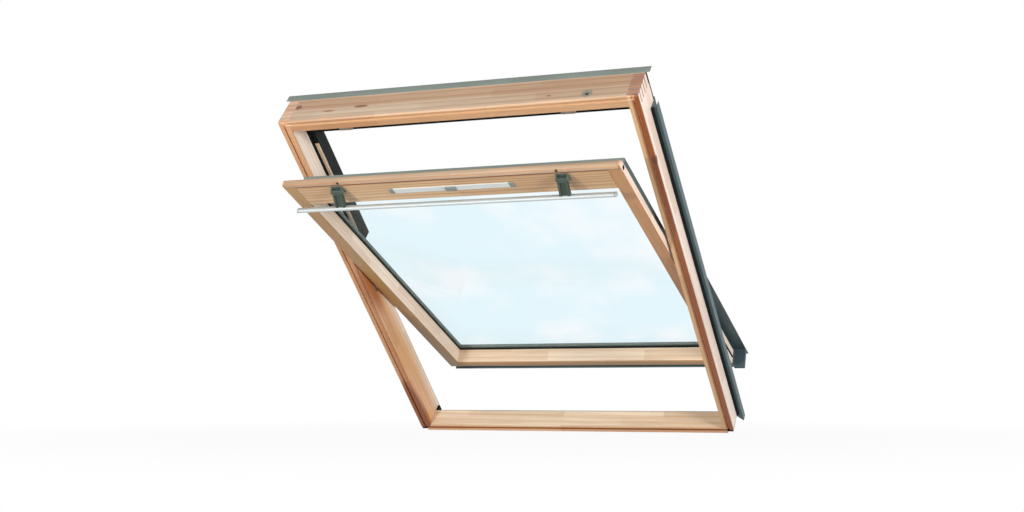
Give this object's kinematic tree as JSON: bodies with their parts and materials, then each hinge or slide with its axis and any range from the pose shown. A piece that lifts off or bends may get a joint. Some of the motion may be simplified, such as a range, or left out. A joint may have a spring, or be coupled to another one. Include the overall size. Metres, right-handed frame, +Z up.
{
  "type": "roof skylight",
  "caption": "Pine centre-pivot roof window with frame, tilted glazed sash, grey aluminium covers, control bar and ventilation flap.",
  "frame": {"origin": "middle of the frame's room-side face, where the frame sits in the roof opening", "axes": "+X to the right seen from the room, +Z up, -Y towards the room; the frame lies at a roof pitch of 43 degrees, its top towards -Y"},
  "size_m": [1.174, 1.3092, 1.051],
  "materials": {
    "pine_frame": "clear satin lacquer on pine",
    "pine_sash": "clear satin lacquer on pine",
    "grey_cladding": "matt grey coil-coated aluminium",
    "black_rubber": "matt black",
    "black_plastic": "matt green-black",
    "glass": "clear float glass",
    "spacer_metal": "satin",
    "silver_aluminium": "satin anodised",
    "grey_plastic": "fine-grained grey",
    "pale_plastic": "pale beige",
    "zinc_steel": "bright zinc-plated"
  },
  "bodies": {
    "frame": {"frame_head": "pine_frame", "frame_jamb_left": "pine_frame", "frame_jamb_right": "pine_frame", "frame_sill": "pine_frame", "stop_lath_left": "pine_frame", "stop_lath_right": "pine_frame", "lath_facings": "black_plastic", "stop_corner_blocks": "black_plastic", "stop_seals": "black_rubber", "hood": "grey_cladding", "hood_seal": "black_rubber", "hood_side_strips": "black_rubber", "side_cover_left": "grey_cladding", "side_cover_right": "grey_cladding", "cover_screws": "zinc_steel", "side_profile_left": "grey_cladding", "side_profile_right": "grey_cladding", "side_profile_seals": "black_rubber", "sill_profile": "grey_cladding", "foot_pads": "black_rubber", "jamb_feet": "black_rubber", "frame_hinge_left": "zinc_steel", "frame_hinge_right": "zinc_steel", "frame_hinge_screws": "zinc_steel", "striker_plates": "zinc_steel", "cable_grommet": "pale_plastic", "bolt_bush": "zinc_steel"},
    "sash": {"sash_top_rail": "pine_sash", "sash_bottom_rail": "pine_sash", "sash_stile_left": "pine_sash", "sash_stile_right": "pine_sash", "pane_outer": "glass", "pane_inner": "glass", "pane_spacer": "spacer_metal", "glazing_gasket": "black_rubber", "bead_left": "grey_cladding", "bead_right": "grey_cladding", "sash_cover_top": "grey_cladding", "sash_cover_left": "grey_cladding", "sash_cover_right": "grey_cladding", "sash_cover_bottom": "grey_cladding", "skirt_catch": "black_plastic", "sash_side_seals": "black_rubber", "sash_bottom_seal": "black_rubber", "sash_hinge_left": "zinc_steel", "sash_hinge_right": "zinc_steel", "pivot_pins": "zinc_steel", "sash_hinge_screws": "zinc_steel", "face_plate": "silver_aluminium", "face_plate_caps": "grey_plastic", "face_plate_catch": "grey_plastic", "bar_brackets": "grey_plastic", "bar_pins": "zinc_steel", "bolt_housing": "black_plastic"},
    "bar": {"control_bar": "silver_aluminium", "bar_end_caps": "grey_plastic", "bar_arms": "grey_plastic"},
    "flap": {"vent_flap": "pine_sash", "flap_pins": "zinc_steel"},
    "bolt": {"barrel_bolt": "zinc_steel"}
  },
  "joints": [
    {"name": "sash_pivot", "type": "hinge", "parent": "frame", "child": "sash", "pos_m": [0, 0.06547, 0.07021], "axis": [1, 0, 0], "range_deg": [-19.6, 140]},
    {"name": "bar_swing", "type": "hinge", "parent": "sash", "child": "bar", "pos_m": [0, -0.52916, 0.25344], "axis": [1, 0, 0], "range_deg": [0, 25]},
    {"name": "flap_tilt", "type": "hinge", "parent": "sash", "child": "flap", "pos_m": [0, -0.54248, 0.27554], "axis": [1, 0, 0], "range_deg": [0, 15]},
    {"name": "bolt_slide", "type": "slide", "parent": "sash", "child": "bolt", "axis": [1, 0, 0], "range_m": [0, 0.018]}
  ],
  "couplings": [
    {"joint": "flap_tilt", "follows": "bar_swing", "ratio": 0.6}
  ]
}
